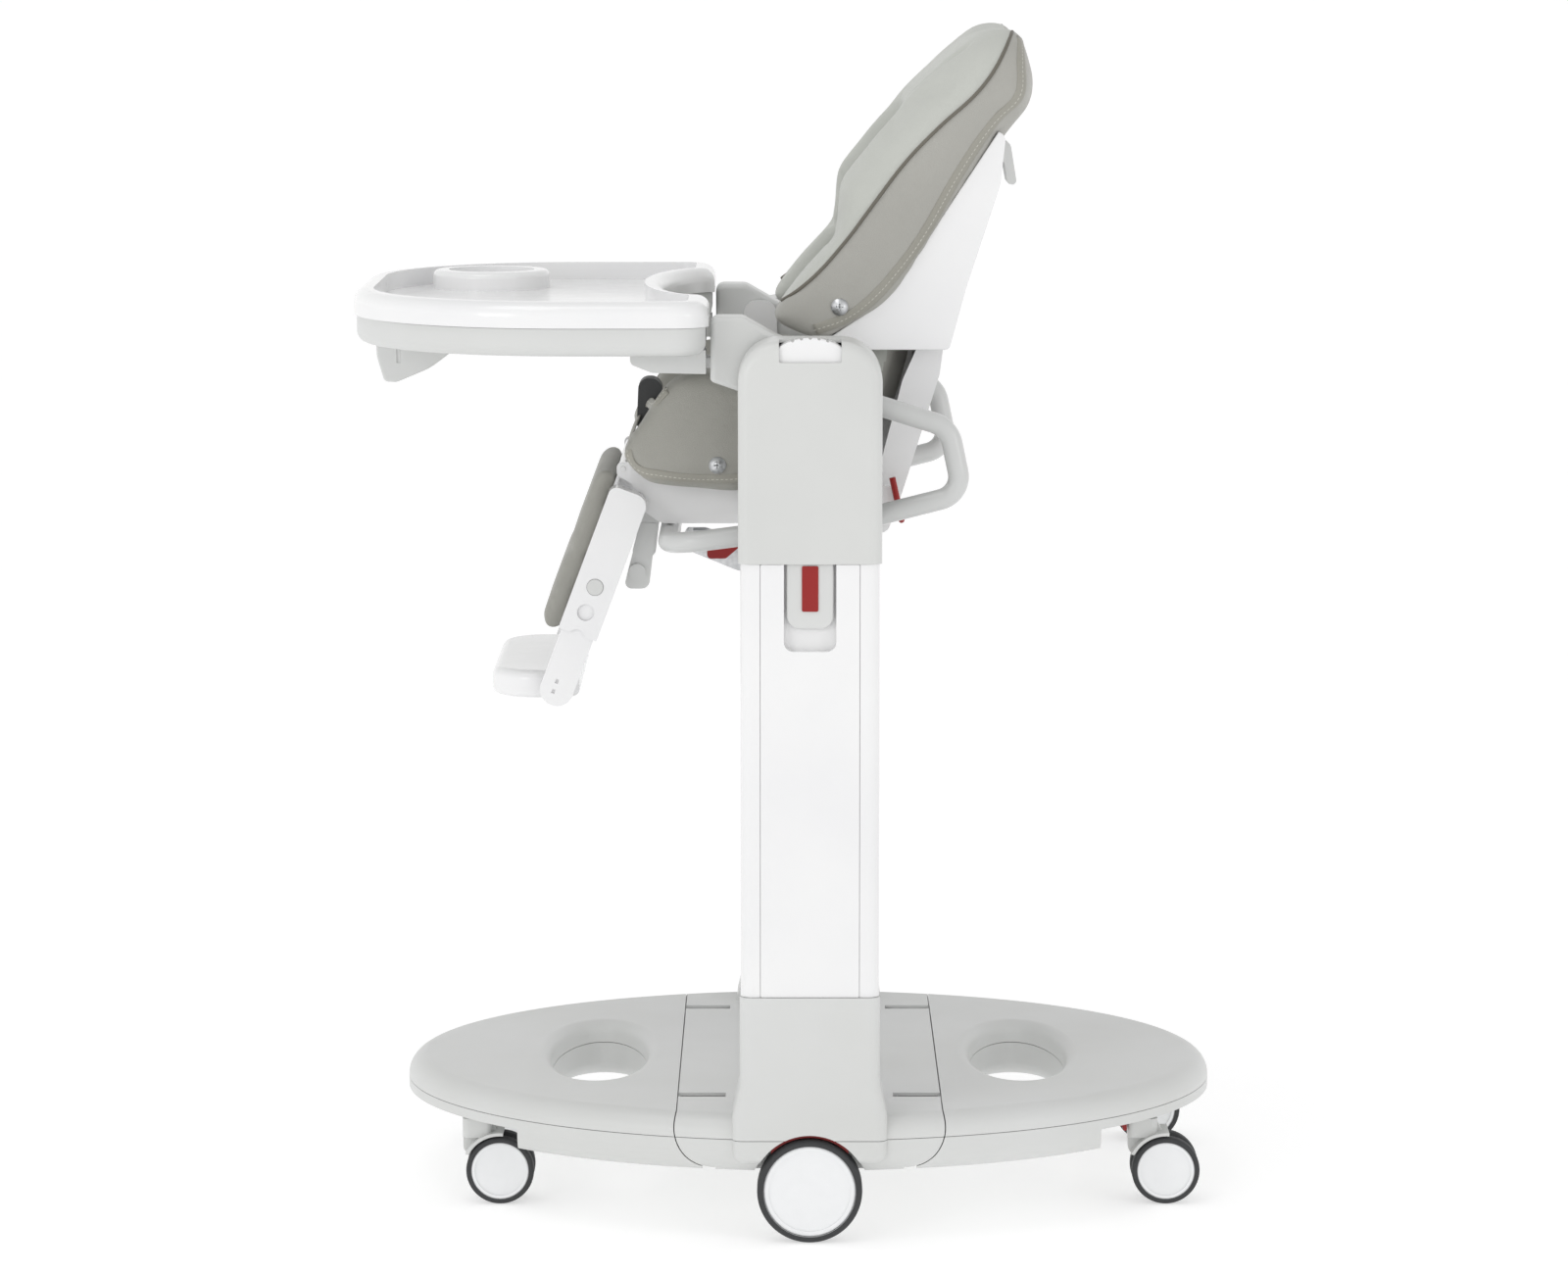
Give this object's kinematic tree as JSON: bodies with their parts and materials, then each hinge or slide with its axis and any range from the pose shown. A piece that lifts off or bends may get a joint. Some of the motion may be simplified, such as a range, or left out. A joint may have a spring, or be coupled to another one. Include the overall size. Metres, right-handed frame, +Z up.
{
  "type": "baby high chair",
  "caption": "Wheeled baby high chair on a folding oval base, with height-sliding reclining padded seat, legrest, footrest and lift-off tray.",
  "frame": {"origin": "centre of the footprint on the floor, under the middle of the whole chair", "axes": "+Z up, -Y the way the child faces, +X the child's left"},
  "size_m": [0.604, 0.824, 1.1245],
  "materials": {
    "white_plastic": "smooth gloss white",
    "gray_plastic": "fine satin light gray",
    "leatherette": "soft grained leatherette",
    "red_plastic": "gloss red",
    "steel": "zinc plated",
    "tube_paint": "light gray paint",
    "dark_plastic": "dark satin",
    "webbing": "woven webbing"
  },
  "bodies": {
    "base": {"hub_top_cover": "gray_plastic", "hub_lower_shell": "gray_plastic", "base_crossbeam": "steel", "base_pins": "steel", "wheel_brake_shoes": "red_plastic", "column_left": "white_plastic", "column_right": "white_plastic", "column_panels": "white_plastic", "head_cover_left": "gray_plastic", "head_cover_right": "gray_plastic", "height_racks": "steel"},
    "front_wing": {"front_wing_top": "gray_plastic", "front_wing_bottom": "gray_plastic"},
    "rear_wing": {"rear_wing_top": "gray_plastic", "rear_wing_bottom": "gray_plastic"},
    "wheel_left": {"wheel_left": "white_plastic"},
    "wheel_right": {"wheel_right": "white_plastic"},
    "seat_slide": {"height_slides": "dark_plastic"},
    "carrier": {"armrest_left": "gray_plastic", "armrest_right": "gray_plastic", "tube_frame": "tube_paint", "seat_rail": "steel"},
    "tilt_lever": {"tilt_lever": "red_plastic"},
    "tray": {"tray_base": "gray_plastic"},
    "tray_top": {"tray_top": "white_plastic"},
    "tray_handle": {"tray_handle": "gray_plastic"},
    "seat": {"seat_shell": "white_plastic", "seat_cushion": "leatherette", "crotch_post": "dark_plastic", "lap_harness": "webbing", "seat_cover_screws": "steel", "legrest_ratchet": "gray_plastic"},
    "backrest": {"backrest_shell": "white_plastic", "backrest_cushion": "leatherette", "shoulder_harness": "webbing", "back_cover_screws": "steel", "rear_hook": "gray_plastic"},
    "recline_lever": {"recline_lever": "red_plastic"},
    "legrest": {"legrest_plate": "white_plastic", "legrest_pad": "leatherette"},
    "footrest_arms": {"footrest_arms": "white_plastic"},
    "footrest": {"footrest_tread": "white_plastic"},
    "release_tongue_left": {"release_tongue_left": "gray_plastic", "release_mark_left": "red_plastic"},
    "swing_dial_left": {"swing_dial_left": "white_plastic"},
    "release_tongue_right": {"release_tongue_right": "gray_plastic", "release_mark_right": "red_plastic"},
    "swing_dial_right": {"swing_dial_right": "white_plastic"},
    "caster_front_left": {"caster_front_left": "gray_plastic"},
    "caster_wheels_front_left": {"caster_wheels_front_left": "white_plastic"},
    "caster_front_right": {"caster_front_right": "gray_plastic"},
    "caster_wheels_front_right": {"caster_wheels_front_right": "white_plastic"},
    "caster_rear_left": {"caster_rear_left": "gray_plastic"},
    "caster_wheels_rear_left": {"caster_wheels_rear_left": "white_plastic"},
    "caster_brake_left": {"caster_brake_left": "red_plastic"},
    "caster_rear_right": {"caster_rear_right": "gray_plastic"},
    "caster_wheels_rear_right": {"caster_wheels_rear_right": "white_plastic"},
    "caster_brake_right": {"caster_brake_right": "red_plastic"},
    "footrest_button_left": {"footrest_button_left": "gray_plastic"},
    "footrest_button_right": {"footrest_button_right": "gray_plastic"}
  },
  "joints": [
    {"name": "front_wing_fold", "type": "hinge", "parent": "base", "child": "front_wing", "pos_m": [0, -0.068, 0.106], "axis": [-1, 0, 0], "range_deg": [0, 90]},
    {"name": "rear_wing_fold", "type": "hinge", "parent": "base", "child": "rear_wing", "pos_m": [0, 0.108, 0.106], "axis": [1, 0, 0], "range_deg": [0, 90]},
    {"name": "wheel_left_spin", "type": "hinge", "parent": "base", "child": "wheel_left", "pos_m": [0.288, 0.02, 0.049], "axis": [1, 0, 0], "continuous": true},
    {"name": "release_tongue_left_pull", "type": "hinge", "parent": "base", "child": "release_tongue_left", "pos_m": [0.2945, 0.02, 0.641], "axis": [0, -1, 0], "range_deg": [0, 10], "stiffness_Nm_per_rad": 0.4},
    {"name": "swing_dial_left_turn", "type": "hinge", "parent": "base", "child": "swing_dial_left", "pos_m": [0.288, 0.02, 0.792], "axis": [1, 0, 0], "range_deg": [-12, 12]},
    {"name": "wheel_right_spin", "type": "hinge", "parent": "base", "child": "wheel_right", "pos_m": [-0.288, 0.02, 0.049], "axis": [1, 0, 0], "continuous": true},
    {"name": "release_tongue_right_pull", "type": "hinge", "parent": "base", "child": "release_tongue_right", "pos_m": [-0.2945, 0.02, 0.641], "axis": [0, 1, 0], "range_deg": [0, 10], "stiffness_Nm_per_rad": 0.4},
    {"name": "swing_dial_right_turn", "type": "hinge", "parent": "base", "child": "swing_dial_right", "pos_m": [-0.288, 0.02, 0.792], "axis": [1, 0, 0], "range_deg": [-12, 12]},
    {"name": "caster_front_left_swivel", "type": "hinge", "parent": "front_wing", "child": "caster_front_left", "pos_m": [0.13, -0.299, 0.06], "axis": [0, 0, 1], "continuous": true},
    {"name": "caster_front_left_roll", "type": "hinge", "parent": "caster_front_left", "child": "caster_wheels_front_left", "pos_m": [0.13, -0.276, 0.0325], "axis": [1, 0, 0], "continuous": true},
    {"name": "caster_front_right_swivel", "type": "hinge", "parent": "front_wing", "child": "caster_front_right", "pos_m": [-0.13, -0.299, 0.06], "axis": [0, 0, 1], "continuous": true},
    {"name": "caster_front_right_roll", "type": "hinge", "parent": "caster_front_right", "child": "caster_wheels_front_right", "pos_m": [-0.13, -0.276, 0.0325], "axis": [1, 0, 0], "continuous": true},
    {"name": "caster_rear_left_swivel", "type": "hinge", "parent": "rear_wing", "child": "caster_rear_left", "pos_m": [0.13, 0.339, 0.06], "axis": [0, 0, 1], "continuous": true},
    {"name": "caster_rear_left_roll", "type": "hinge", "parent": "caster_rear_left", "child": "caster_wheels_rear_left", "pos_m": [0.13, 0.362, 0.0325], "axis": [1, 0, 0], "continuous": true},
    {"name": "caster_brake_left_press", "type": "hinge", "parent": "caster_rear_left", "child": "caster_brake_left", "pos_m": [0.13, 0.323, 0.071], "axis": [1, 0, 0], "range_deg": [0, 12]},
    {"name": "caster_rear_right_swivel", "type": "hinge", "parent": "rear_wing", "child": "caster_rear_right", "pos_m": [-0.13, 0.339, 0.06], "axis": [0, 0, 1], "continuous": true},
    {"name": "caster_rear_right_roll", "type": "hinge", "parent": "caster_rear_right", "child": "caster_wheels_rear_right", "pos_m": [-0.13, 0.362, 0.0325], "axis": [1, 0, 0], "continuous": true},
    {"name": "caster_brake_right_press", "type": "hinge", "parent": "caster_rear_right", "child": "caster_brake_right", "pos_m": [-0.13, 0.323, 0.071], "axis": [1, 0, 0], "range_deg": [0, 12]},
    {"name": "seat_height", "type": "slide", "parent": "base", "child": "seat_slide", "axis": [0, 0, 1], "range_m": [-0.24, 0]},
    {"name": "seat_swing", "type": "hinge", "parent": "seat_slide", "child": "carrier", "pos_m": [0, 0.02, 0.8], "axis": [-1, 0, 0], "range_deg": [-8, 8]},
    {"name": "tilt_lever_squeeze", "type": "slide", "parent": "carrier", "child": "tilt_lever", "axis": [0, 0, 1], "range_m": [0, 0.006], "stiffness_N_per_m": 200},
    {"name": "tray_slide", "type": "slide", "parent": "carrier", "child": "tray", "axis": [0, -1, 0], "range_m": [0, 0.05]},
    {"name": "tray_top_lift", "type": "slide", "parent": "tray", "child": "tray_top", "axis": [0, 0, 1], "range_m": [0, 0.1]},
    {"name": "tray_handle_pull", "type": "slide", "parent": "tray", "child": "tray_handle", "axis": [0, -1, 0], "range_m": [0, 0.008], "stiffness_N_per_m": 300},
    {"name": "seat_tilt", "type": "hinge", "parent": "carrier", "child": "seat", "pos_m": [0, -0.03, 0.826], "axis": [-1, 0, 0], "range_deg": [0, 18]},
    {"name": "backrest_recline", "type": "hinge", "parent": "seat", "child": "backrest", "pos_m": [0, 0.025, 0.67], "axis": [-1, 0, 0], "range_deg": [0, 17]},
    {"name": "recline_lever_pull", "type": "hinge", "parent": "backrest", "child": "recline_lever", "pos_m": [0, 0.098, 0.7], "axis": [1, 0, 0], "range_deg": [0, 15], "stiffness_Nm_per_rad": 0.4},
    {"name": "legrest_raise", "type": "hinge", "parent": "seat", "child": "legrest", "pos_m": [0, -0.156, 0.706], "axis": [-1, 0, 0], "range_deg": [0, 56]},
    {"name": "footrest_length", "type": "slide", "parent": "legrest", "child": "footrest_arms", "axis": [0, -0.3518, -0.9361], "range_m": [0, 0.0512]},
    {"name": "footrest_fold", "type": "hinge", "parent": "footrest_arms", "child": "footrest", "pos_m": [0, -0.21854, 0.49982], "axis": [1, 0, 0], "range_deg": [0, 65]},
    {"name": "footrest_button_left_press", "type": "slide", "parent": "legrest", "child": "footrest_button_left", "axis": [-1, 0, 0], "range_m": [0, 0.0025], "stiffness_N_per_m": 400},
    {"name": "footrest_button_right_press", "type": "slide", "parent": "legrest", "child": "footrest_button_right", "axis": [1, 0, 0], "range_m": [0, 0.0025], "stiffness_N_per_m": 400}
  ]
}
